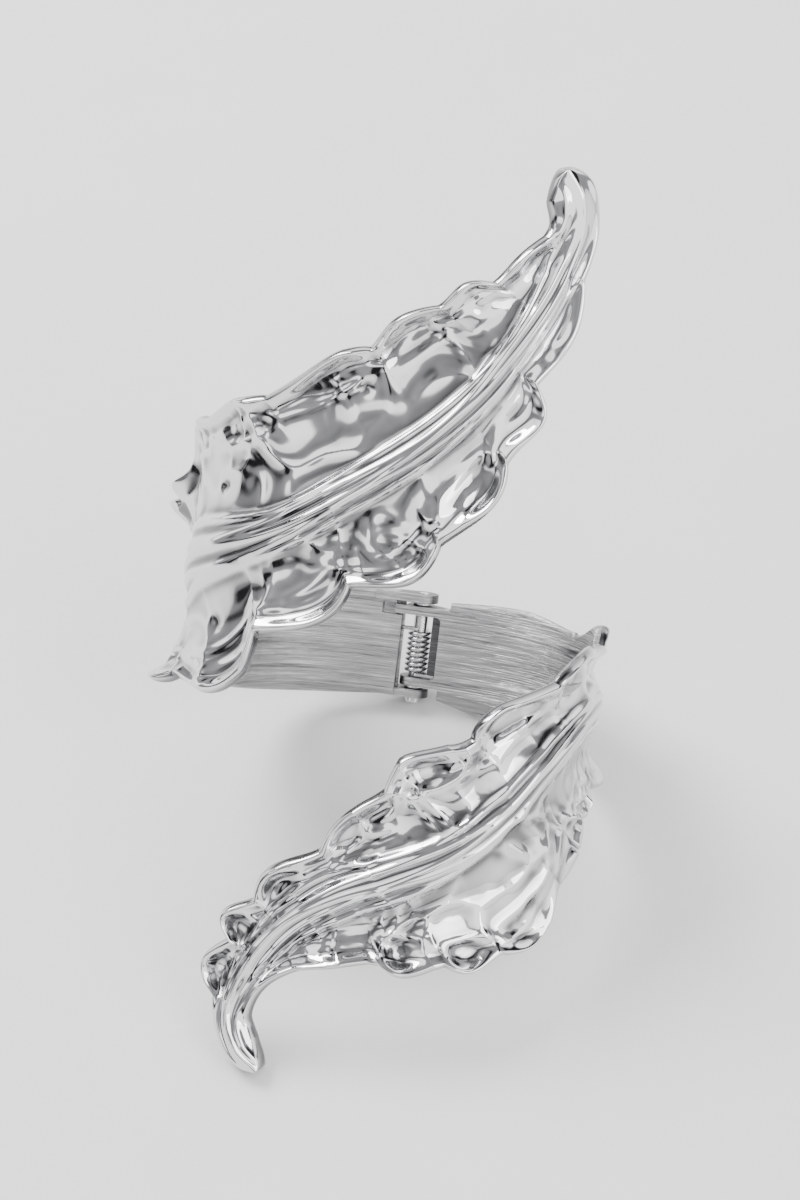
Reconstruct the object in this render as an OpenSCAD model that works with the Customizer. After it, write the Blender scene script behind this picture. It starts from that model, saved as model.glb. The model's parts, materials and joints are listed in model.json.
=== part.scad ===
// Spring-hinged bypass leaf cuff bangle.
// Two curved leaves are hinged at the back of the wrist. The upper leaf sweeps up across the front
// to a claw, the lower leaf sweeps down to another, and a torsion spring holds the cuff closed.
// Every piece is drawn upright (arm along Z, hinge at +Y), then laid on the table by resting().

/* [Wrist oval] */
// Half the outer width of the cuff
oval_a = 31; // [29:0.5:34]
// Half the outer depth of the cuff, from the hinge to the front
oval_b = 26.5; // [25:0.5:29]
// Squareness of the oval, where 2 is an ellipse
oval_n = 2.5; // [2:0.1:3]

/* [Leaves] */
// Thickness of the leaf castings
skin_t = 1.25; // [1.1:0.05:1.6]
// Height of the midrib over the leaf
rib_h = 1.7; // [0.8:0.1:2.4]
// How far the rim curls outward at the sides of the cuff
side_curl = 2.8; // [1.5:0.1:3.5]
// How far the rim curls outward elsewhere
rim_curl = 1.1; // [0.5:0.1:2]
// Strength of the scallops along the rim
scallop = 1; // [0:0.1:1.2]
// How far the halves of the upper leaf flare out at the side of the cuff
side_flare = 2.2; // [0:0.1:3]
// Steps along each leaf
leaf_steps = 76; // [40:2:80]

/* [Band] */
// Half the height of the brushed inner band at the hinge
band_z = 6.5; // [6:0.1:7]
// How much further down the left half of the band reaches
left_drop = 1.4; // [0:0.1:1.6]
// Angle at which the right half of the band slopes down from the hinge
right_fall = 6.5; // [0:0.5:8]
// Depth of the band's inner face below the outer oval
band_in = 2.8; // [2.6:0.1:3.2]
// Length of each half of the band, measured round the oval
band_len = 62; // [50:1:64]

/* [Hinge] */
// Sideways place of the pin
pin_x = -0.8; // [-1.5:0.1:0]
// Radius of the pin
pin_r = 0.75; // [0.6:0.05:0.8]
// Radius of the pin's head
head_r = 1.2; // [1.1:0.05:1.4]
// Running clearance round the pin
run_gap = 0.05; // [0.02:0.01:0.1]
// Radius of the ears
ear_r = 2.4; // [2.3:0.05:2.5]
// Half the height of the spring pocket
pocket_z = 5.1; // [4.8:0.1:5.2]
// Outer radius of the coil spring
coil_r = 1.9; // [1.8:0.05:2]
// Radius of the spring's wire
wire_r = 0.33; // [0.28:0.01:0.36]
// Turns of the coil spring
coil_turns = 9; // [7:1:10]

/* [Rest] */
// Backward lean of the cuff as it lies on the table
tilt = 42.5; // [38:0.1:46]
// Sideways lean of the cuff as it lies on the table
lean = 2.8; // [0:0.1:6]

/* [Hidden] */
chrome = "#c9ccd0";
satin = "#a9acb0";
steel = "#8f9296";

pin_y = oval_b - 0.3;            // the pin stands just inside the outer face
washer_t = 0.5;                  // washer between an inner ear and an outer ear
slack = 0.03;                    // end play on each side of a washer
ear_in = band_z;                 // top of the inner ears
ear_low = band_z + washer_t + 2 * slack;   // underside of the outer ears
ear_out = ear_low + 1.35;        // top of the outer ears
head_t = 0.9;                    // height of the pin's head
gap_l = 2.9;                     // from the pin to the left half's end face
gap_r = 3.6;                     // from the pin to the pocket's right wall
lap = 0.1;                       // how far band and leaf sink into each other where they are joined
arm_l = 7.5;                     // length of the outer ears' arms, from the pin
tail_l = 4;                      // length of the stop tail on the upper inner ear
tail_t = 1.3;                    // thickness of the stop tail
lip_t = 1.3;                     // thickness of the lip behind the spring
corner_r = 1;                    // rounding of the spring pocket's corners
end_cut = 49;                    // slant of the left band's far end
end_y = 2;                       // where that slant starts, front to back

// ---- the wrist oval, measured by its arc length ----
function oval_at(t) = [oval_a * sign(sin(t)) * pow(abs(sin(t)), 2 / oval_n),
                       oval_b * sign(cos(t)) * pow(abs(cos(t)), 2 / oval_n)];
arc = [for (t = 0, run = 0, p = oval_at(0), q = oval_at(0); t <= 260;
            t = t + 1, q = oval_at(t), run = run + norm(q - p), p = q) [run, t]];
function away(p) = let (g = [sign(p.x) * pow(abs(p.x) / oval_a, oval_n - 1) / oval_a,
                             sign(p.y) * pow(abs(p.y) / oval_b, oval_n - 1) / oval_b]) g / norm(g);
// A point at arc length s from the back, at height z and d outside the oval.
function skin(s, z, d, side) = let (p = oval_at(lookup(s, arc)), w = p + d * away(p)) [side * w.x, w.y, z];

// ---- smooth curves through a few rows of values ----
function row(tab, i) = tab[max(0, min(len(tab) - 1, i))];
function smooth(tab, t) = let (i = min(len(tab) - 2, floor(t)), f = t - i,
    a = row(tab, i - 1), b = row(tab, i), c = row(tab, i + 1), e = row(tab, i + 2))
    (2 * b + (c - a) * f + (2 * a - 5 * b + 4 * c - e) * f * f + (3 * b - a - 3 * c + e) * f * f * f) / 2;
function ramp(lo, hi, x) = let (k = max(0, min(1, (x - lo) / (hi - lo)))) k * k * (3 - 2 * k);
function bump(mid, wide, x) = exp(-pow((x - mid) / wide, 2));

// Midrib of each leaf: [arc length, height, width above the rib, width below it].
upper_rows = [[3.4, 0, 8.2, 8.4], [16, 0, 8.5, 9.5], [28, 1.5, 8, 11], [39, 5, 10, 12.5],
    [50, 10.5, 16, 15.5], [60, 15, 20.5, 19], [70, 18.5, 20, 17.5], [80, 23, 19.5, 14.5],
    [90, 30, 18, 15], [99, 37, 17, 13], [106, 44.5, 15.5, 10], [111.5, 53, 12, 7.5],
    [115.5, 61, 7.5, 4.8], [117.8, 69, 4.3, 4], [117, 74.5, 4, 3.3], [115, 78, 3, 2.2]];
lower_rows = [[3.6, -0.4, 8, 8.2], [16, -1, 9.3, 10.3], [28, -1.5, 8.5, 11], [39, -1.2, 10.5, 13],
    [49, -0.5, 11, 17], [57.5, -2.5, 10.5, 18], [65, -8, 12, 18.5], [71, -14.5, 13.5, 19],
    [78, -20.5, 14.5, 18.5], [86, -25, 12, 15], [94, -29, 8.5, 11.5], [101, -34.5, 7.5, 8.5],
    [106, -42, 6.5, 4.6], [108, -49, 3.9, 3.6], [106, -54, 2.8, 3.4], [102.5, -57, 1.8, 2.4]];
// Places across a leaf, from its lower rim to its upper rim.
across = [-1, -0.93, -0.8, -0.6, -0.4, -0.22, -0.1, 0, 0.1, 0.22, 0.4, 0.6, 0.8, 0.93, 1];

claw_from = 12;                  // row where the claw starts
tip_from = 14.1;                 // row where its tip starts to round off
skew = 1.6;                      // how late in its run a scallop swells out most
// Scallops of each rim: [row where one starts, how far its notch cuts in, how far it swells out].
upper_top = [[2.3, -0.6, 0], [3.3, -2.4, -1.6], [3.95, -4.4, -3.4], [4.6, -2.2, 0], [5.7, -0.4, 0.5],
    [7.6, -0.7, 0.5], [9.35, -1.1, 0.9], [10.75, -0.4, 0.8], [11.6, -1, 0.5], [12.8, -0.2, 0.1],
    [15.1, 0, 0]];
upper_low = [[2.5, -0.4, 0.6], [3.6, -0.6, 1.2], [4.5, -0.5, 2.4], [6.3, -3, 0.5], [7.45, -2.3, 1.2],
    [8.6, -0.5, 0.9], [9.75, -0.8, 0.6], [10.7, -2.6, 0.5], [12.35, -0.6, 0.1], [15.1, 0, 0]];
lower_top = [[2, -0.3, 1.2], [2.9, -2.6, -2.2], [4.1, -1.6, 0.2], [5.2, -1, 1], [6.5, -0.8, 1.4],
    [8.6, -0.6, 0.5], [9.9, -1.4, 0.4], [11.1, -1.4, 0.9], [11.8, -1.8, 1.3], [12.8, -0.7, 0.1],
    [15.1, 0, 0]];
lower_low = [[2.3, -0.5, 0.8], [3.3, -0.8, 0.2], [4.4, -0.2, 0.3], [6.95, -1.3, 1.6],
    [8.05, -0.3, 0.7], [8.75, -0.5, 0.9], [9.7, -0.5, -0.1], [11.4, -0.5, -0.3], [15.1, 0, 0]];
// Hooks where the rim curls out at the sides: [row, half its length in rows, height].
upper_hooks = [[[4.15, 0.3, 0.8]], [[3.75, 0.27, 1.6], [4.25, 0.22, 0.9]]];
lower_hooks = [[[2.85, 0.3, 0.6]], [[2.55, 0.3, 0.5]]];
// Each leaf: [midrib, lower and upper scallops, their hooks, side of the cuff, upper and lower flare].
upper_form = [upper_rows, [upper_low, upper_top], upper_hooks, -1, side_flare, side_flare * 0.7];
lower_form = [lower_rows, [lower_low, lower_top], lower_hooks, 1, -0.9, 0];

function half(v) = v > 0 ? 1 : 0;
function last_start(list, t) = max([for (i = [0:len(list) - 2]) if (i == 0 || t >= list[i][0]) i]);
function lobe(list, t) = let (i = last_start(list, t), a = list[i][0], b = list[i + 1][0])
    pow(sin(180 * pow(max(0, min(1, (t - a) / (b - a))), skew)), 0.8);
function swell(list, t) = let (i = last_start(list, t), a = list[i], b = list[i + 1],
    notch = a[1] + (b[1] - a[1]) * max(0, min(1, (t - a[0]) / (b[0] - a[0]))))
    t < list[0][0] ? 0 : scallop * (notch + (a[2] - notch) * lobe(list, t));
function breadth(form, t, r, v) = r[2 + 1 - half(v)] + swell(form[1][half(v)], t);
// How far the outer face of a leaf stands off the oval.
function relief(form, t, v) = let (e = ramp(0.62, 1, abs(v)), f = lobe(form[1][half(v)], t),
        k = ramp(2.2, 3.6, t) * (1 - ramp(claw_from, 13.4, t)))
    rib_h * ramp(1.5, 4.5, t) * bump(0, 0.15, v) * (1 - 0.5 * ramp(claw_from, 15, t))
    + e * k * rim_curl * (0.4 + 0.8 * f)
    + e * side_curl * sum([for (h = form[2][half(v)]) h[2] * bump(h[0], h[1], t)])
    - 0.7 * k * bump(0.45, 0.25, abs(v))
    + 1.5 * ramp(claw_from, claw_from + 2, t) * (1 - v * v);
function flare(form, t, v) = form[4 + 1 - half(v)] * bump(4, 0.95, t) * ramp(0.15, 0.6, abs(v));
function sum(list) = list * [for (i = list) 1];
function leaf_face(form, out) = [for (i = [0:leaf_steps]) let (
        rows = form[0], t = i / leaf_steps * (len(rows) - 1), r = smooth(rows, t),
        step = smooth(rows, min(len(rows) - 1, t + 0.02)) - smooth(rows, max(0, t - 0.02)),
        n = [-step[1], step[0]] / norm([step[0], step[1]]), tip = sqrt(1 - 0.97 * pow(max(0, (t - tip_from) / (len(rows) - 1 - tip_from)), 2)))
    for (v = across) let (w = v * breadth(form, t, r, v) * tip, h = relief(form, t, v),
        d = flare(form, t, v) * (out ? 1 : 0.9)
            + (out ? h : -skin_t + h * 0.7 * ramp(4, 6, t) - ramp(claw_from, 14, t) * (1 - v * v)))
    skin(r[0] + n.x * w, r[1] + n.y * w, d, form[3])];

// Closed shell from an outer and an inner grid of points.
function quad(a, b, c, e) = [[a, b, c], [a, c, e]];
function shell_faces(nu, nv) = let (m = (nu + 1) * nv) [
    for (i = [0:nu - 1], j = [0:nv - 2]) let (a = i * nv + j)
        each quad(a, a + 1, a + nv + 1, a + nv),
    for (i = [0:nu - 1], j = [0:nv - 2]) let (a = m + i * nv + j)
        each quad(a, a + nv, a + nv + 1, a + 1),
    for (i = [0:nu - 1]) let (a = i * nv) each quad(a, a + nv, m + a + nv, m + a),
    for (i = [0:nu - 1]) let (a = i * nv + nv - 1) each quad(a, m + a, m + a + nv, a + nv),
    for (j = [0:nv - 2]) each quad(j, m + j, m + j + 1, j + 1),
    for (j = [0:nv - 2]) let (a = nu * nv + j) each quad(a, a + 1, m + a + 1, m + a)];
function turned(faces) = [for (f = faces) [f[0], f[2], f[1]]];

upper_pts = concat(leaf_face(upper_form, true), leaf_face(upper_form, false));
lower_pts = concat(leaf_face(lower_form, true), leaf_face(lower_form, false));

// ---- the cuff lying on the table: box centred over the origin, lowest point at z = 0 ----
function leaned(p) = [p.x * cos(lean) + p.z * sin(lean), p.y, p.z * cos(lean) - p.x * sin(lean)];
function tilted(p) = [p.x, p.y * cos(tilt) + p.z * sin(tilt), p.z * cos(tilt) - p.y * sin(tilt)];
laid = [for (p = concat(upper_pts, lower_pts)) tilted(leaned(p))];
laid_x = [for (p = laid) p.x];
laid_y = [for (p = laid) p.y];
laid_z = [for (p = laid) p.z];
module resting() {
    translate([-(min(laid_x) + max(laid_x)) / 2, -(min(laid_y) + max(laid_y)) / 2, -min(laid_z)])
        rotate([-tilt, 0, 0]) rotate([0, lean, 0]) children();
}

// ---- pieces ----
module leaf(pts, faces) { resting() polyhedron(points = pts, faces = faces, convexity = 6); }
module upper_leaf() { color(chrome) leaf(upper_pts, shell_faces(leaf_steps, len(across))); }
module lower_leaf() { color(chrome) leaf(lower_pts, turned(shell_faces(leaf_steps, len(across)))); }

// Upright wall that follows the oval from arc length s0 to s1, between depths d0 and d1.
module wall(s0, s1, d0, d1, z0, z1, side) {
    n = ceil((s1 - s0) / 2);
    flat = function(s, d) let (p = skin(s, 0, d, side)) [p.x, p.y];
    translate([0, 0, z0]) linear_extrude(z1 - z0)
        polygon(concat([for (i = [0:n]) flat(s0 + (s1 - s0) * i / n, d0)],
                       [for (i = [n:-1:0]) flat(s0 + (s1 - s0) * i / n, d1)]));
}
// Ear plate round the pin, with an arm that narrows into the wall at its side.
module ear(z0, z1, arm, y0, y1) {
    translate([pin_x, pin_y, z0]) {
        cylinder(r = ear_r, h = z1 - z0, $fn = 48);
        linear_extrude(z1 - z0)
            polygon([[0, -ear_r], [arm, y0 - pin_y], [arm, y1 - pin_y], [0, ear_r]]);
    }
}
module pin_bore() { translate([pin_x, pin_y, -20]) cylinder(r = pin_r + run_gap, h = 40, $fn = 48); }

module left_band() {
    inner = oval_b - band_in;
    low = -band_z - left_drop;
    color(satin) resting() difference() {
        union() {
            wall(gap_l - pin_x, band_len, -skin_t + lap, -band_in, low, band_z, -1);
            for (s = [0, 1]) mirror([0, 0, s]) {
                ear(ear_low, ear_out, -arm_l, inner + 0.5, oval_b - 0.2);
                // root of the arm, joined to the band
                translate([pin_x - arm_l, inner + 0.5, band_z - 1.5])
                    cube([arm_l - gap_l - 1, band_in - 0.8, ear_out - band_z + 1.5]);
            }
        }
        pin_bore();
        // notch that takes the stop tail of the other half, with room for the tail to swing
        translate([pin_x - tail_l - 2, inner - 1, pocket_z - 0.3])
            cube([tail_l + 3, 2 * tail_t + 0.05, band_z - pocket_z + 0.45]);
        // slanted far end, hidden behind the leaf
        translate([-2 * oval_a, end_y, low]) rotate([end_cut, 0, 0])
            translate([0, -2 * oval_b, -oval_a]) cube([2 * oval_a - 20, 2 * oval_b, 3 * oval_a]);
    }
}
module right_band() {
    inner = oval_b - band_in;
    edge = pin_x + gap_r;
    color(satin) resting() difference() {
        union() {
            difference() {
                wall(edge, band_len, -skin_t + lap, -band_in, -band_z - 4, band_z, 1);
                // the band's upper and lower edges slope down away from the hinge
                for (s = [-1, 1]) translate([edge, 0, s * band_z]) rotate([0, right_fall, 0])
                    translate([-5, -2 * oval_b, s > 0 ? 0 : -20]) cube([2 * oval_a, 4 * oval_b, 20]);
            }
            // rounded corners of the spring pocket
            for (s = [0, 1]) mirror([0, 0, s]) difference() {
                translate([edge - corner_r, inner + 0.3, pocket_z - corner_r])
                    cube([corner_r + 0.2, band_in - 0.5, corner_r + 0.2]);
                translate([edge - corner_r, inner, pocket_z - corner_r]) rotate([-90, 0, 0])
                    cylinder(r = corner_r, h = band_in, $fn = 32);
            }
            for (s = [0, 1]) mirror([0, 0, s]) ear(pocket_z, ear_in, gap_r + 1, inner, oval_b - 0.3);
            // lip behind the spring, and the stop tail on the top ear
            translate([pin_x + coil_r + 0.15, oval_b - lip_t - 0.1, -ear_in])
                cube([gap_r - coil_r + 1, lip_t, 2 * ear_in]);
            translate([pin_x - tail_l, inner, pocket_z]) cube([tail_l, tail_t, ear_in - pocket_z]);
        }
        pin_bore();
    }
}
module hinge_pin() {
    color(steel) resting() translate([pin_x, pin_y, 0]) {
        translate([0, 0, -ear_out]) cylinder(r = pin_r, h = 2 * ear_out + 0.1, $fn = 48);
        translate([0, 0, -ear_out - head_t]) cylinder(r = head_r, h = head_t - slack, $fn = 48);
        translate([0, 0, -ear_out - head_t / 2]) cylinder(r = pin_r, h = head_t, $fn = 48);
    }
}
module tube(r_out, r_in, z0, z1) {
    translate([pin_x, pin_y, z0]) difference() {
        cylinder(r = r_out, h = z1 - z0, $fn = 48);
        translate([0, 0, -1]) cylinder(r = r_in, h = z1 - z0 + 2, $fn = 48);
    }
}
module spring_sleeve() {
    color(steel) resting() tube(1.15, pin_r + run_gap, -pocket_z + slack, pocket_z - slack);
}
module upper_washer() { color(steel) resting() tube(1.6, pin_r + run_gap, band_z + slack, ear_low - slack); }
module lower_washer() { color(steel) resting() tube(1.6, pin_r + run_gap, slack - ear_low, -band_z - slack); }

// Torsion spring: a close coil with a leg at each end.
module torsion_spring() {
    mean_r = coil_r - wire_r;
    low = 0.38 - pocket_z;       // height of the lowest turn
    rise = 7.5 / coil_turns;     // height of one turn
    leg_gap = 0.3;               // from a leg's end to the wall beside it
    steps = 14;                  // rings in one turn
    sides = 6;
    coil = [for (i = [0:coil_turns * steps]) let (a = -90 + i * 360 / steps)
        [mean_r * cos(a), mean_r * sin(a), low + rise * i / steps]];
    run = concat([[gap_r - leg_gap, -mean_r, low]], coil, [[leg_gap - gap_l, -mean_r, low + rise * coil_turns]]);
    ring = function(i) let (a = run[max(0, i - 1)], b = run[min(len(run) - 1, i + 1)], t = (b - a) / norm(b - a),
        n = cross([0, 0, 1], t) / norm(cross([0, 0, 1], t)), m = cross(t, n))
        [for (k = [0:sides - 1]) run[i] + wire_r * (cos(k * 360 / sides) * n + sin(k * 360 / sides) * m)];
    last = (len(run) - 1) * sides;
    color(steel) resting() translate([pin_x, pin_y, 0]) polyhedron(
        points = [for (i = [0:len(run) - 1]) each ring(i)],
        faces = concat([for (i = [0:len(run) - 2], k = [0:sides - 1]) let (a = i * sides, b = (k + 1) % sides)
                each quad(a + k, a + sides + k, a + sides + b, a + b)],
            [[for (k = [0:sides - 1]) k]], [[for (k = [sides - 1:-1:0]) last + k]]));
}

upper_leaf();
lower_leaf();
left_band();
right_band();
hinge_pin();
spring_sleeve();
torsion_spring();
upper_washer();
lower_washer();
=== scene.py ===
import json
import math
import bpy
import numpy as np
from mathutils import Matrix, Vector


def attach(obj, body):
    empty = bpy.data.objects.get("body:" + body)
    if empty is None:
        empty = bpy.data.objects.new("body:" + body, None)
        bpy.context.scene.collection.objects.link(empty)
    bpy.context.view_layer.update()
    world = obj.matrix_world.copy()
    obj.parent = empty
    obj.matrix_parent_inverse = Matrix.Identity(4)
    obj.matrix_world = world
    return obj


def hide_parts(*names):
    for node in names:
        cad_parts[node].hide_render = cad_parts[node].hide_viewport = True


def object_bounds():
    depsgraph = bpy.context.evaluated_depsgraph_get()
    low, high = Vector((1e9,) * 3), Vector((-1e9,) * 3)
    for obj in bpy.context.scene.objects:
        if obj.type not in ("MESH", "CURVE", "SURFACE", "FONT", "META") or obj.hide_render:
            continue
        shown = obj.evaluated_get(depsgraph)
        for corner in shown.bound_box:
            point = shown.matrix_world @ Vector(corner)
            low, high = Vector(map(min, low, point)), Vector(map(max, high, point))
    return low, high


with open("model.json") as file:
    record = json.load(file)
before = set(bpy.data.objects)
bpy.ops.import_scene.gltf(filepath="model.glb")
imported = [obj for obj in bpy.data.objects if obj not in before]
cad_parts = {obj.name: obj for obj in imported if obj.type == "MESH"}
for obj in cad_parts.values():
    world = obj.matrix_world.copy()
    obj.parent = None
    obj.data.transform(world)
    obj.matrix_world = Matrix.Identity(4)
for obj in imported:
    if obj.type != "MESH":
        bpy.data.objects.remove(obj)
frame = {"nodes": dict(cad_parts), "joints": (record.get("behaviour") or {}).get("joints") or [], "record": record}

cad_box = [list(corner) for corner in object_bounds()]

# ---- The wrist oval -------------------------------------------------------------------------
# Both castings are bent round one squared oval, which leans back as the cuff lies on the table.
# The hinge's axis runs along the arm, so it gives the directions that everything is placed by.
hinge = frame["joints"][0]
arm_way = -np.array(hinge["axis"])
back_way = np.array([0, arm_way[2], -arm_way[1]]) / math.hypot(arm_way[1], arm_way[2])
right_way = np.cross(back_way, arm_way)
wrist = np.array(frame["record"]["mounts"][0]["pos_m"])
oval_wide, oval_deep, oval_square = 31.0, 26.5, 2.5


def oval_point(turn):
    s, c = np.sin(turn), np.cos(turn)
    return np.stack([oval_wide * np.sign(s) * np.abs(s) ** (2 / oval_square),
                     oval_deep * np.sign(c) * np.abs(c) ** (2 / oval_square)], -1)


oval_turns = np.radians(np.linspace(0, 260, 5201))
oval_steps = np.hypot(*np.diff(oval_point(oval_turns), axis=0).T)
oval_run = np.concatenate([[0], np.cumsum(oval_steps)])


def on_cuff(s, z, out, side):
    """Point s mm round from the hinge, z mm up the arm and out mm off the oval, in metres."""
    p = oval_point(np.interp(s, oval_run, oval_turns))
    slope = np.stack([np.sign(q) * np.abs(q / half) ** (oval_square - 1) / half
                      for q, half in ((p[..., 0], oval_wide), (p[..., 1], oval_deep))], -1)
    p = p + out[..., None] * slope / np.linalg.norm(slope, axis=-1, keepdims=True)
    return laid(side * p[..., 0], p[..., 1], z)


def laid(x, y, z):
    x, y, z = (np.asarray(k, float)[..., None] / 1000 for k in (x, y, z))
    return wrist + x * right_way + y * back_way + z * arm_way


def piece(name, points, faces, body, stands_for=()):
    mesh = bpy.data.meshes.new(name)
    mesh.from_pydata([tuple(p) for p in np.reshape(points, (-1, 3))], [], faces)
    mesh.shade_smooth()
    made = bpy.data.objects.new(name, mesh)
    bpy.context.scene.collection.objects.link(made)
    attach(made, body)
    if stands_for:
        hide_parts(*stands_for)
    return made


# ---- The two leaf castings ------------------------------------------------------------------
# Each half is a zinc alloy leaf, cast thin with a raised bundle of veins, hammered dimples and a
# rolled, scalloped rim, then polished and plated bright. It ends in a solid curled claw.
# Rows hold the midrib: distance round from the hinge, height, breadth above it and below it.
upper_midrib = [[3.4, 0, 8.2, 8.4], [16, 0, 8.5, 9.5], [28, 1.5, 8, 11], [39, 5, 10, 12.5],
                [50, 10.5, 16, 15.5], [60, 15, 20.5, 19], [70, 18.5, 20, 17.5], [80, 23, 19.5, 14.5],
                [90, 30, 18, 15], [99, 37, 17, 13], [106, 44.5, 15.5, 10], [111.5, 53, 12, 7.5],
                [115.5, 61, 7.5, 4.8], [117.8, 69, 4.3, 4], [117, 74.5, 4, 3.3], [115, 78, 3, 2.2]]
lower_midrib = [[3.6, -0.4, 8, 8.2], [16, -1, 9.3, 10.3], [28, -1.5, 8.5, 11], [39, -1.2, 10.5, 13],
                [49, -0.5, 11, 17], [57.5, -2.5, 10.5, 18], [65, -8, 12, 18.5], [71, -14.5, 13.5, 19],
                [78, -20.5, 14.5, 18.5], [86, -25, 12, 15], [94, -29, 8.5, 11.5], [101, -34.5, 7.5, 8.5],
                [106, -42, 6.5, 4.6], [108, -49, 3.9, 3.6], [106, -54, 2.8, 3.4], [102.5, -57, 1.8, 2.4]]
# Scallops: the row where each starts, how far its notch cuts in, and how far it swells out.
upper_top_scallops = [[2.3, -0.6, 0], [3.3, -2.4, -1.6], [3.95, -4.4, -3.4], [4.6, -2.2, 0],
                      [5.7, -0.4, 0.5], [7.6, -0.7, 0.5], [9.35, -1.1, 0.9], [10.75, -0.4, 0.8],
                      [11.6, -1.0, 0.5], [12.8, -0.2, 0.1], [15.1, 0, 0]]
upper_low_scallops = [[2.5, -0.4, 0.6], [3.6, -0.6, 1.2], [4.5, -0.5, 2.4], [6.3, -3, 0.5],
                      [7.45, -2.3, 1.2], [8.6, -0.5, 0.9], [9.75, -0.8, 0.6], [10.7, -2.6, 0.5],
                      [12.35, -0.6, 0.1], [15.1, 0, 0]]
lower_top_scallops = [[2, -0.3, 1.2], [2.9, -2.6, -2.2], [4.1, -1.6, 0.2], [5.2, -1.0, 1.0],
                      [6.5, -0.8, 1.4], [8.6, -0.6, 0.5], [9.9, -1.4, 0.4], [11.1, -1.4, 0.9],
                      [11.8, -1.8, 1.3], [12.8, -0.7, 0.1], [15.1, 0, 0]]
lower_low_scallops = [[2.3, -0.5, 0.8], [3.3, -0.8, 0.2], [4.4, -0.2, 0.3],
                      [6.95, -1.3, 1.6], [8.05, -0.3, 0.7], [8.75, -0.5, 0.9], [9.7, -0.5, -0.1],
                      [11.4, -0.5, -0.3], [15.1, 0, 0]]
skin_thick, thinnest = 1.25, 0.7        # the casting's usual wall and its least, in mm
lip_round = 0.75                        # how far in from the rim the lip is rounded
lobe_lean, lobe_full = 1.6, 0.8         # how late a scallop swells most, and how broad the swell is
claw_from, claw_done = 12.2, 14         # rows between which the blade closes up into the claw
tip_from, tip_rows = 14.1, 0.9          # row where the claw's tip starts to round off, and its length
leaf_steps, leaf_across = 620, 190      # points along a leaf and across it
hammer_pits = 26                        # sharp single marks on each leaf


def smooth_rows(table, t):
    table = np.array(table, float)
    i = np.clip(np.floor(t).astype(int), 0, len(table) - 2)
    f = (t - i)[..., None]
    a, b, c, d = (table[np.clip(i + k, 0, len(table) - 1)] for k in (-1, 0, 1, 2))
    bend, twist = 2 * a - 5 * b + 4 * c - d, 3 * b - a - 3 * c + d
    return (2 * b + (c - a) * f + bend * f ** 2 + twist * f ** 3) / 2


def ramp(low, high, x):
    k = np.clip((x - low) / (high - low), 0, 1)
    return k * k * (3 - 2 * k)


def hump(middle, wide, x):
    return np.exp(-((x - middle) / wide) ** 2)


def scalloped(table, t):
    """How far the rim stands out along the rows t, how far t is through its scallop, and which one."""
    table = np.array(table, float)
    i = np.clip(np.searchsorted(table[:, 0], t, side="right") - 1, 0, len(table) - 2)
    u = np.clip((t - table[i, 0]) / (table[i + 1, 0] - table[i, 0]), 0, 1) ** lobe_lean
    notch = table[i, 1] + (table[i + 1, 1] - table[i, 1]) * u ** (1 / lobe_lean)
    swollen = np.sin(np.pi * u) ** lobe_full
    return (t > table[0, 0]) * (notch + (table[i, 2] - notch) * swollen), u, i


def dimples(rng, along, over, size, bend, sharp):
    """Hammered dishes that meet in soft ridges: height above the deepest points, in mm."""
    height = np.zeros_like(along)
    for row in range(int(along.max() / size) + 3):
        for col in range(-5, 6):
            x = (row - 1 + 0.5 * (col % 2) + rng.uniform(-0.38, 0.38)) * size
            y = (col + rng.uniform(-0.38, 0.38)) * size
            lift = rng.uniform(0, 0.25)
            height += np.exp(-sharp * (((along - x) ** 2 + (over - y) ** 2) / (2 * bend) + lift))
    return -np.log(height + 1e-9) / sharp


def swell(rng, along, over, size):
    """Slow random rise and fall over a surface, between about -1 and 1."""
    total = np.zeros_like(along)
    for _ in range(9):
        way, phase, pace = rng.uniform(0, 2 * np.pi), rng.uniform(0, 2 * np.pi), rng.uniform(0.7, 1.5)
        total += np.sin((along * np.cos(way) + over * np.sin(way)) * pace * 2 * np.pi / size + phase)
    return total / 3.2


def shell_faces(steps, across):
    """Faces of a closed shell: an outer grid, an inner grid turned the other way, and four walls."""
    n = steps * across
    outer = []
    for i in range(steps - 1):
        for j in range(across - 1):
            a = i * across + j
            outer.append((a, a + 1, a + across + 1, a + across))
    inner = [(n + a, n + d, n + c, n + b) for a, b, c, d in outer]
    walls = []
    for i in range(steps - 1):
        a, b = i * across, i * across + across - 1
        walls += [(a, a + across, n + a + across, n + a), (b, n + b, n + b + across, b + across)]
    last = (steps - 1) * across
    for j in range(across - 1):
        walls += [(j, n + j, n + j + 1, j + 1), (last + j, last + j + 1, n + last + j + 1, n + last + j)]
    return outer + inner + walls


def mark_points(leaf, name, values):
    mark = leaf.data.attributes.new(name, "FLOAT", "POINT")
    mark.data.foreach_set("value", values.astype(np.float32))


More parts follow.
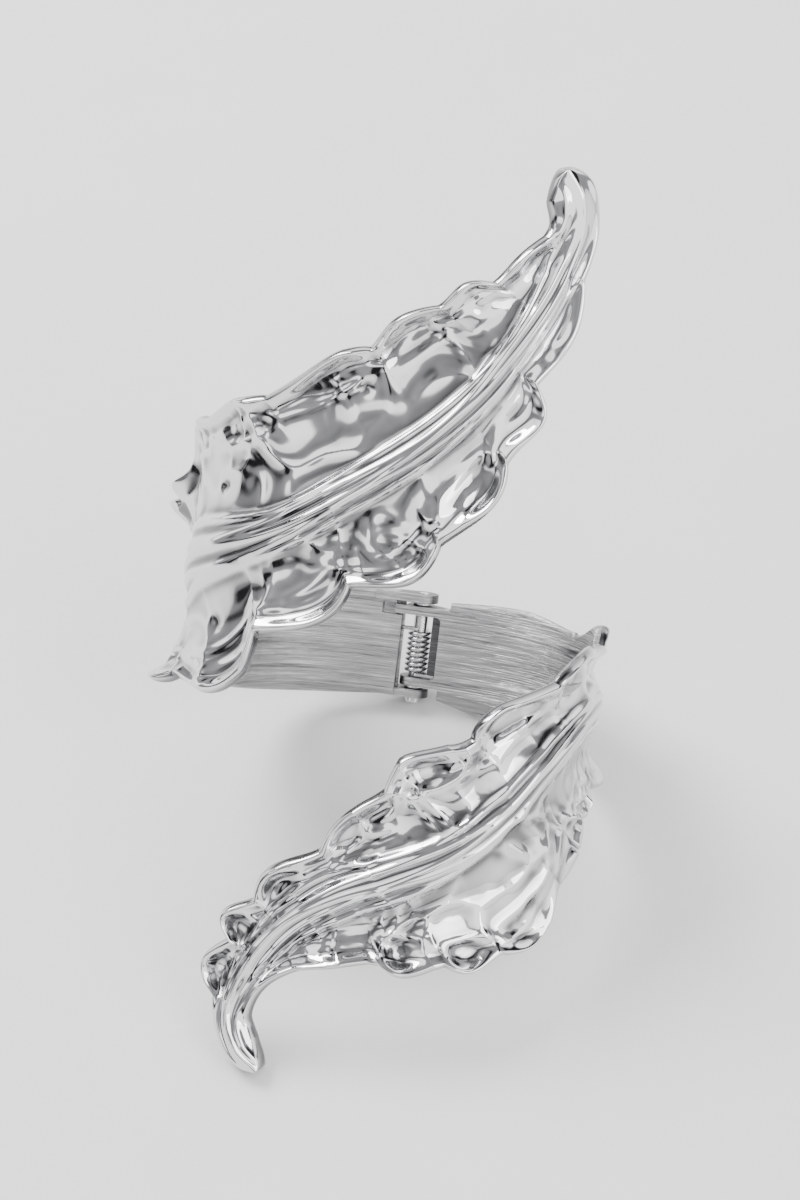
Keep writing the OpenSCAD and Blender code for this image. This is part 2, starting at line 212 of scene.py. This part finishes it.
def cast_leaf(name, rows, top, low, side, bundle, spikes, flare, dished, inward, seed, body):
    """A leaf on its rows. side: -1 left, 1 right. bundle: rows and spread of the veins. spikes: row,
    width, rise and whether on the upper side, for each hook. flare: how far each side leans out.
    dished: depth of the scallops' dishes. inward: how much of the blade the small marks cover."""
    t = np.linspace(0, len(rows) - 1, leaf_steps)
    mid = smooth_rows(rows, t)
    way = np.gradient(mid[:, :2], axis=0)
    along = np.concatenate([[0], np.cumsum(np.hypot(*np.diff(mid[:, :2], axis=0).T))])
    way /= np.linalg.norm(way, axis=1)[:, None]
    v = np.sin(np.linspace(-np.pi / 2, np.pi / 2, leaf_across))[None, :]
    end = np.sqrt(1 - 0.97 * np.clip((t - tip_from) / tip_rows, 0, 1) ** 2)[:, None]
    (top_out, top_u, top_i), (low_out, low_u, low_i) = scalloped(top, t), scalloped(low, t)
    breadth = np.where(v > 0, (mid[:, 2] + top_out)[:, None], (mid[:, 3] + low_out)[:, None]) * end
    u = np.where(v > 0, top_u[:, None], low_u[:, None])
    lobe = np.sin(np.pi * u)
    turn = np.where(v > 0, top_i[:, None], low_i[:, None] + 20) * 2.4 + seed
    over = v * breadth
    rim = (1 - np.abs(v)) * breadth
    s, z = mid[:, :1] - way[:, 1:] * over, mid[:, 1:2] + way[:, :1] * over
    t, along = t[:, None] + 0 * v, along[:, None] + 0 * v
    rng = np.random.default_rng(seed)

    # rolled rim with a rounded lip, which curls out into hooks at the sides of the cuff
    leafy = ramp(2, 3.6, t) * (1 - ramp(claw_from, 13.6, t))
    bowl = 0.9 * leafy * hump(0.45, 0.25, np.abs(v))
    flared = np.where(v > 0, *flare) * hump(4, 0.95, t) * ramp(0.15, 0.6, np.abs(v))
    curl = (0.6 + 0.5 * lobe) * leafy * ramp(5, 0.5, rim)
    for row, wide, rise, on_top in spikes:
        curl = curl + rise * hump(row, wide, t) * ramp(6, 0.2, rim) * ((v > 0) == on_top)
    lip = leafy * (0.5 * hump(0.8, 0.7, rim) - 0.4 * hump(2.4, 0.8, rim))
    # the marks fade where the rim crowds together inside a bend
    spread = np.hypot(*(np.gradient(k, axis=0) for k in (s, z))) / np.gradient(along, axis=0)
    open_rim = ramp(0.1, 0.75, spread)
    # an oval dish with a raised edge beaten into each scallop
    far = np.sqrt(((u - 0.5 - 0.09 * np.sin(3 * turn)) / 0.34) ** 2
                  + ((rim - 3.4 - 0.5 * np.cos(turn)) / (2.0 + 0.4 * np.sin(turn))) ** 2)
    beaten_edge = 0.4 * hump(1.3, 0.35, far) - 0.9 * np.exp(-far ** 4)
    dish = dished * open_rim * leafy * (0.75 + 0.35 * np.sin(2 * turn)) * beaten_edge
    # broad hammer marks all over, smaller ones toward the rim, and a few sharp pits
    wild = along + 2.4 * swell(rng, along, over, 17), over + 2.4 * swell(rng, along, over, 15)
    broad = dimples(rng, *wild, size=12, bend=15, sharp=8)
    small = dimples(rng, *wild, size=6, bend=7.5, sharp=12)
    near_rim = inward + (1 - inward) * ramp(0.5 - 0.2 * inward, 0.85, np.abs(v))
    worked = open_rim * ramp(0.5, 2.5, t) * (1 - ramp(12, 13.5, t)) * (0.2 + 0.8 * ramp(0.3, 2.4, rim))
    patchy = inward + (1 - inward) * ramp(-0.5, 0.6, swell(rng, along, over, 22))
    patchy = patchy * (1 - 0.5 * ramp(9.5, 11.5, t))
    hammered = worked * ((0.3 + 0.2 * inward) * (broad - 0.8)
                         + (0.6 + 0.4 * inward) * patchy * near_rim * (small - 0.4))
    hammered = hammered + 0.3 * worked * swell(rng, along, over, 15)
    for _ in range(hammer_pits):
        x, y = rng.uniform(30, along.max() - 25), rng.uniform(-17, 17)
        wide, deep, skew = rng.uniform(0.8, 1.9), rng.uniform(-0.55, 0.25), rng.uniform(0.5, 1.6)
        pit = np.exp(-((along - x) / wide) ** 2 - ((over - y) / (wide * skew)) ** 2)
        hammered = hammered + worked * deep * pit
    # the bundle of veins: strands that fan out at the base and close up toward the claw
    fan = np.interp(t, bundle[0], bundle[1])
    place = over / fan
    bundle_on = ramp(1.2, 4, t)
    vein = 1.15 * hump(0, 1.05, place)
    strands = np.zeros_like(t)
    for k, seat in enumerate((-0.92, -0.5, -0.06, 0.38, 0.86)):
        wander = 0.09 * np.sin(along * (0.11 + 0.017 * k) + 2.1 * k)
        fading = 1 - ramp(12, 13.5, t) * (k % 2)
        strands = strands + 0.5 * fading * hump(seat + wander, 0.17 + 0.1 * ramp(12, 14, t), place)
    calm = 1 - 0.9 * hump(0, 1.25, place)
    worn_down = 1 - 0.3 * ramp(12, 14, t) - 0.5 * ramp(14, 15, t)
    relief = bundle_on * (vein + strands) * worn_down
    # the claw is solid and round; elsewhere the lining follows the face, but more softly
    claw = ramp(claw_from, claw_done, t)
    round_claw = np.sqrt(1 - 0.98 * v * v)
    marks = calm * (hammered + dish)
    face = flared + relief - bowl + curl + lip + marks + 1.5 * claw * round_claw
    beaten = ramp(1.2, 4.2, t) * 0.75 * (curl - bowl + 0.5 * relief * claw + 0.5 * marks)
    lining = 0.9 * flared - skin_thick + beaten - 0.9 * claw * round_claw
    face = np.maximum(face, lining + thinnest)
    # round off the rim between the outer face and the lining
    middle, half = (face + lining) / 2, (face - lining) / 2
    reach = np.minimum(lip_round, breadth * 0.5)
    half = half * np.sqrt(np.clip(1 - np.clip(1 - rim / reach, 0, 1) ** 2, 0.0004, 1))
    grids = [on_cuff(s, z, middle + k * half, side) for k in (1, -1)]
    faces = shell_faces(leaf_steps, leaf_across)
    if side > 0:
        faces = [f[::-1] for f in faces]
    leaf = piece(name, np.concatenate([g.reshape(-1, 3) for g in grids]), faces, body,
                 (name.replace("_casting", ""),))
    # how deep each point lies in a hollow, for the painted shade that darkens there and the painted
    # dark line along the rim, and where the belt has ground the lining
    depth = face.copy()
    for _ in range(14):
        depth[1:-1] = (depth[:-2] + 2 * depth[1:-1] + depth[2:]) / 4
        depth[:, 1:-1] = (depth[:, :-2] + 2 * depth[:, 1:-1] + depth[:, 2:]) / 4
    edge = hump(0, 0.4, rim).reshape(-1)
    # painted shade in the hollows, and a painted dark line along the rim
    groove = np.maximum(np.clip((depth - face) * 8, 0, 1).reshape(-1), edge)
    ground = np.concatenate([0 * edge, (1 - ramp(5, 6.5, t)).reshape(-1)])
    mark_points(leaf, "ground", ground)
    mark_points(leaf, "groove", np.concatenate([groove, edge]))
    return leaf


upper_leaf = cast_leaf("upper_leaf_casting", upper_midrib, upper_top_scallops, upper_low_scallops, side=-1,
                       bundle=([0, 4, 5.5, 7, 8.5, 11, 13, 15], [4.5, 5.5, 5, 3.2, 2.6, 2.4, 2.8, 2.6]),
                       spikes=[(3.75, 0.23, 4.6, True), (4.25, 0.19, 2.8, True),
                               (4.15, 0.22, 2.2, False)],
                       flare=(2.2, 1.54), dished=0.55, inward=0.08, seed=4, body="left_half")
lower_leaf = cast_leaf("lower_leaf_casting", lower_midrib, lower_top_scallops, lower_low_scallops, side=1,
                       bundle=([0, 4, 5.5, 7, 8.5, 10, 11.5, 13, 15], [4, 3, 2.6, 2.8, 3.4, 3.6, 3, 2, 1.4]),
                       spikes=[(2.55, 0.3, 1.7, True), (2.85, 0.28, 1.8, False)],
                       flare=(-0.9, 0), dished=0.8, inward=0.8, seed=9, body="right_half")


class Wire:
    """One output of a node, which adds, subtracts and multiplies as a plain number would."""

    def __init__(self, tree, socket):
        self.tree, self.socket = tree, socket

    def _math(self, operation, first, second):
        node = self.tree.nodes.new("ShaderNodeMath")
        node.operation = operation
        for socket, value in zip(node.inputs, (first, second)):
            join(self.tree, socket, value)
        return Wire(self.tree, node.outputs[0])

    def __add__(self, other): return self._math("ADD", self, other)
    def __radd__(self, other): return self._math("ADD", other, self)
    def __sub__(self, other): return self._math("SUBTRACT", self, other)
    def __rsub__(self, other): return self._math("SUBTRACT", other, self)
    def __mul__(self, other): return self._math("MULTIPLY", self, other)
    def __rmul__(self, other): return self._math("MULTIPLY", other, self)


def join(tree, socket, value):
    if isinstance(value, Wire):
        tree.links.new(value.socket, socket)
    else:
        socket.default_value = value


class Finish:
    """The nodes of one finish. node() adds any node: its settings first, then its sockets."""

    def __init__(self, owner):
        owner.use_nodes = True
        self.tree = owner.node_tree
        self.tree.nodes.clear()

    def node(self, kind, settings=None, sockets=None, out=0):
        made = self.tree.nodes.new(kind)
        for key, value in (settings or {}).items():
            if key == "stops":
                stops = made.color_ramp.elements
                while len(stops) < len(value):
                    stops.new(0.5)
                for stop, (at, tone) in zip(stops, value):
                    stop.position = at
                    stop.color = tone if len(tone) == 4 else (*tone, 1)
            else:
                setattr(made, key, value)
        for key, value in (sockets or {}).items():
            join(self.tree, made.inputs[key], value)
        return Wire(self.tree, made.outputs[out]) if len(made.outputs) else None

    def mix(self, amount, first, second):
        return self.node("ShaderNodeMix", {"data_type": "RGBA"}, {0: amount, 6: first, 7: second}, 2)

    def bump(self, strength, distance, height):
        return self.node("ShaderNodeBump", None,
                         {"Strength": strength, "Distance": distance, "Height": height})

    def measured(self, place, way):
        """How far a place lies along a direction, in metres."""
        return self.node("ShaderNodeVectorMath", {"operation": "DOT_PRODUCT"},
                         {0: place, 1: tuple(way)}, "Value")

    def surface(self, tone, roughness, normal, metallic=1.0):
        shader = self.node("ShaderNodeBsdfPrincipled", None, {"Base Color": tone, "Metallic": metallic,
                                                              "Roughness": roughness, "Normal": normal})
        self.node("ShaderNodeOutputMaterial", None, {"Surface": shader})


def dress(finish, *objects):
    for o in objects:
        o.data.materials.clear()
        o.data.materials.append(finish)


def ground_skin(f):
    """Tone, roughness and height of plate that a belt has ground along the band."""
    place = f.node("ShaderNodeTexCoord", None, None, "Object")
    up_arm, from_right, to_back = (f.measured(place, way) for way in (arm_way, right_way, back_way))
    # noise squeezed along the arm and stretched round it draws the belt's lines
    layers = []
    for stretch, squeeze, detail, uneven in ((60.0, 3600.0, 5.0, 0.6), (70.0, 1100.0, 3.0, 0.7)):
        drawn_out = f.node("ShaderNodeCombineXYZ", None,
                           {0: from_right * stretch, 1: to_back * stretch, 2: up_arm * squeeze})
        layers.append(f.node("ShaderNodeTexNoise", None, {"Vector": drawn_out, "Scale": 1.0,
                                                          "Detail": detail, "Roughness": uneven}))
    lines, streaks = layers
    tones = [(0.34, (0.10, 0.10, 0.102)), (0.45, (0.33, 0.33, 0.335)),
             (0.55, (0.44, 0.44, 0.445)), (0.66, (0.80, 0.80, 0.80))]
    tone = f.node("ShaderNodeValToRGB", {"stops": tones}, {0: 0.5 * streaks + 0.5 * lines})
    return tone, 0.24 + 0.22 * lines, 0.7 * lines + 0.6 * streaks, from_right, to_back


bright = bpy.data.materials.new("bright_plate")
f = Finish(bright)
place = f.node("ShaderNodeTexCoord", None, None, "Object")
haze = f.node("ShaderNodeTexNoise", None, {"Vector": place, "Scale": 90.0, "Detail": 3.0})
groove = f.node("ShaderNodeAttribute", {"attribute_name": "groove"}, None, "Fac")
ground = f.node("ShaderNodeAttribute", {"attribute_name": "ground"}, None, "Fac")
belt_tone, belt_rough, belt_height, _, _ = ground_skin(f)
tone = f.mix(haze, (0.64, 0.645, 0.655, 1), (0.72, 0.725, 0.73, 1))
# painted shade: the plate goes near black in the hollows and in a painted dark line along the rim
tone = f.mix(groove * 0.85, tone, (0.10, 0.10, 0.105, 1))
tone = f.mix(ground, tone, belt_tone)
polish = 0.035 + 0.05 * haze + 0.12 * groove
relief = f.bump(0.9, 0.0004, ground * belt_height)
f.surface(tone, polish + ground * (belt_rough - polish), relief)
dress(bright, upper_leaf, lower_leaf)

# ---- The brushed bands ----------------------------------------------------------------------
# Each half has a plain band inside its leaf, ground smooth for the wrist with a belt that leaves
# fine lines along it. Its ends carry the hinge ears, the pocket for the spring and the stop tail.
brushed = bpy.data.materials.new("brushed_plate")
f = Finish(brushed)
tone, roughness, height, from_right, to_back = ground_skin(f)
# painted shade: the band goes near black deep in the pocket round the spring, fading over a short way
pin = np.array(hinge["pos_m"])
pocket_front, pocket_full, pocket_edge, pocket_side = -0.0021, -0.0016, 0.0042, 0.0036
off_pin = from_right - float(np.dot(pin, right_way))
pocket_shade_depth = f.node("ShaderNodeMapRange", None,
              {0: to_back - float(np.dot(pin, back_way)), 1: pocket_front, 2: pocket_full})
pocket_shade_side = f.node("ShaderNodeMapRange", None,
                {0: off_pin * off_pin, 1: pocket_edge ** 2, 2: pocket_side ** 2})
# painted shade mixed in deep in the pocket beside the pin
tone = f.mix(pocket_shade_depth * pocket_shade_side * 0.85, tone, (0.06, 0.06, 0.062, 1))
relief = f.bump(0.9, 0.0004, height)
f.surface(tone, roughness, relief)
one_point, sharp_edge = 0.00001, math.radians(35)


def soften(part, width):
    """Join the points that meet, then round every sharp edge by this width in metres."""
    weld = part.modifiers.new("weld", "WELD")
    weld.merge_threshold = one_point
    edge = part.modifiers.new("edge", "BEVEL")
    edge.width, edge.segments, edge.limit_method, edge.angle_limit = width, 3, "ANGLE", sharp_edge
    edge.harden_normals = True


for name in ("left_band", "right_band"):
    dress(brushed, frame["nodes"][name])
    soften(frame["nodes"][name], 0.00025)

# ---- The hinge pin, its sleeve and washers --------------------------------------------------
# A steel pin with an upset head runs through all four ears. A bright tube turns on it inside the
# spring, and a thin washer keeps each pair of ears apart.
turned = bpy.data.materials.new("turned_steel")
f = Finish(turned)
place = f.node("ShaderNodeTexCoord", None, None, "Object")
up_arm = f.measured(place, arm_way)
rings = f.node("ShaderNodeTexNoise", {"noise_dimensions": "1D"},
               {"W": up_arm * 9000.0, "Scale": 1.0, "Detail": 2.0})
blotch = f.node("ShaderNodeTexNoise", None, {"Vector": place, "Scale": 700.0, "Detail": 3.0})
tone = f.mix(blotch, (0.62, 0.62, 0.63, 1), (0.74, 0.74, 0.745, 1))
relief = f.bump(0.25, 0.0001, rings)
f.surface(tone, 0.12 + 0.18 * blotch, relief)
for name, width in (("hinge_pin", 0.0003), ("spring_sleeve", 0.00008),
                    ("upper_washer", 0.0001), ("lower_washer", 0.0001)):
    dress(turned, frame["nodes"][name])
    soften(frame["nodes"][name], width)

# ---- The torsion spring ---------------------------------------------------------------------
# Hard drawn steel wire wound close round the sleeve, with a straight leg at each end. One leg
# presses on each half, which turns the halves together and closes the cuff.
pin_across, pin_back = -0.8, 26.2
wire_radius, coil_radius, coil_low, coil_high, coil_turns = 0.33, 1.57, -4.72, 2.78, 9
low_leg_end, high_leg_end, bend_gap = 3.3, -2.6, 0.15
points_a_turn, sides = 32, 14
turns = np.radians(np.linspace(-90, -90 + 360 * coil_turns, coil_turns * points_a_turn + 1))
helix = np.stack([coil_radius * np.cos(turns), coil_radius * np.sin(turns),
                  np.linspace(coil_low, coil_high, len(turns))], -1)
low_leg = [[x, -coil_radius, coil_low] for x in np.linspace(low_leg_end, bend_gap, 14)]
high_leg = [[x, -coil_radius, coil_high] for x in np.linspace(-bend_gap, high_leg_end, 12)]
path = np.concatenate([low_leg, helix, high_leg]) + [pin_across, pin_back, 0]
ahead = np.gradient(path, axis=0)
ahead /= np.linalg.norm(ahead, axis=1)[:, None]
first = np.cross([0, 0, 1.0], ahead)
first /= np.linalg.norm(first, axis=1)[:, None]
second = np.cross(ahead, first)
hoops = []
for k in range(sides):
    a = 2 * math.pi * k / sides
    hoops.append(path + wire_radius * (math.cos(a) * first + math.sin(a) * second))
tube = np.stack(hoops, 1)
faces = []
for i in range(len(path) - 1):
    for k in range(sides):
        a, b = i * sides + k, i * sides + (k + 1) % sides
        faces.append((a, b, b + sides, a + sides))
faces += [tuple(range(sides))[::-1], tuple(range((len(path) - 1) * sides, len(path) * sides))]
spring = piece("wound_spring", laid(tube[..., 0], tube[..., 1], tube[..., 2]), faces, "right_half",
               ("torsion_spring",))
drawn = bpy.data.materials.new("drawn_wire")
f = Finish(drawn)
place = f.node("ShaderNodeTexCoord", None, None, "Object")
film = f.node("ShaderNodeTexNoise", None, {"Vector": place, "Scale": 900.0, "Detail": 4.0})
tone = f.mix(film, (0.50, 0.50, 0.51, 1), (0.72, 0.72, 0.725, 1))
relief = f.bump(0.15, 0.0001, film)
f.surface(tone, 0.16 + 0.16 * film, relief)
dress(drawn, spring)

# ---- The plaster table ----------------------------------------------------------------------
# The cuff lies on a plain slab of pale plaster, far wider than the cuff. Its face is lightly
# trowelled, with a fine sandy grain.
reach = 2.5
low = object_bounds()[0].z
slab = bpy.data.meshes.new("table")
corners = ((-1, -1), (1, -1), (1, 1), (-1, 1))
slab.from_pydata([(reach * x, reach * y, low) for x, y in corners], [], [(0, 1, 2, 3)])
table = bpy.data.objects.new("table", slab)
bpy.context.scene.collection.objects.link(table)
plaster = bpy.data.materials.new("plaster")
f = Finish(plaster)
place = f.node("ShaderNodeTexCoord", None, None, "Object")
trowel = f.node("ShaderNodeTexNoise", None, {"Vector": place, "Scale": 45.0, "Detail": 5.0})
grain = f.node("ShaderNodeTexNoise", None, {"Vector": place, "Scale": 650.0, "Detail": 4.0})
tone = f.mix(trowel, (0.76, 0.755, 0.745, 1), (0.82, 0.815, 0.805, 1))
relief = f.bump(0.35, 0.0012, trowel + 0.35 * grain)
f.surface(tone, 0.85, relief, metallic=0.0)
dress(plaster, table)

# ---- Studio light and camera ----------------------------------------------------------------
# Soft light from two panels and a pale room. The bright metal needs a few grey and dark stretches
# round it, which the room shows to reflections alone, and a little less of them to the right.
world = bpy.data.worlds.new("studio")
bpy.context.scene.world = world
f = Finish(world)
look = f.node("ShaderNodeTexCoord", None, None, "Generated")
room = f.node("ShaderNodeTexNoise", None, {"Vector": look, "Scale": 1.7, "Detail": 1.0, "Roughness": 0.4})
toward_right = f.node("ShaderNodeSeparateXYZ", None, {"Vector": look}, "X")
tones = [(0.34, (0.01, 0.01, 0.011)), (0.39, (0.20, 0.20, 0.205)),
         (0.49, (0.30, 0.30, 0.305)), (0.54, (1.3, 1.3, 1.3))]
tone = f.node("ShaderNodeValToRGB", {"stops": tones}, {0: room + 0.025 * toward_right})
seen = f.node("ShaderNodeLightPath", None, None, "Is Glossy Ray")
tone = f.mix(seen, (0.72, 0.72, 0.73, 1), tone)
sky = f.node("ShaderNodeBackground", None, {"Color": tone, "Strength": 2.0})
f.node("ShaderNodeOutputWorld", None, {"Surface": sky})


def panel(name, place, aim, wide, high, power):
    lamp = bpy.data.lights.new(name, "AREA")
    lamp.shape, lamp.size, lamp.size_y, lamp.energy = "RECTANGLE", wide, high, power
    holder = bpy.data.objects.new(name, lamp)
    bpy.context.scene.collection.objects.link(holder)
    holder.location = place
    holder.rotation_euler = (Vector(aim) - Vector(place)).to_track_quat("-Z", "Y").to_euler()


middle = (Vector(cad_box[0]) + Vector(cad_box[1])) / 2
panel("key", (-0.55, 0.35, 0.75), middle, wide=0.45, high=0.45, power=12.0)
panel("fill", (0.6, -0.3, 0.6), middle, wide=0.4, high=0.6, power=4.0)

azimuth, elevation, roll, distance = math.radians(16.2), math.radians(50), math.radians(-7.25), 0.43
aim = Vector(wrist + 0.011 * arm_way)
ahead = Vector((-math.sin(azimuth) * math.cos(elevation), math.cos(azimuth) * math.cos(elevation),
                -math.sin(elevation)))
lens = bpy.data.cameras.new("camera")
lens.lens, lens.sensor_width = 85, 36
lens.clip_start, lens.clip_end = 0.01, 20
camera = bpy.data.objects.new("camera", lens)
bpy.context.scene.collection.objects.link(camera)
camera.location = aim - ahead * distance
level = ahead.to_track_quat("-Z", "Y").to_matrix()
camera.rotation_euler = (level @ Matrix.Rotation(roll, 3, "Z")).to_euler()
bpy.context.scene.camera = camera
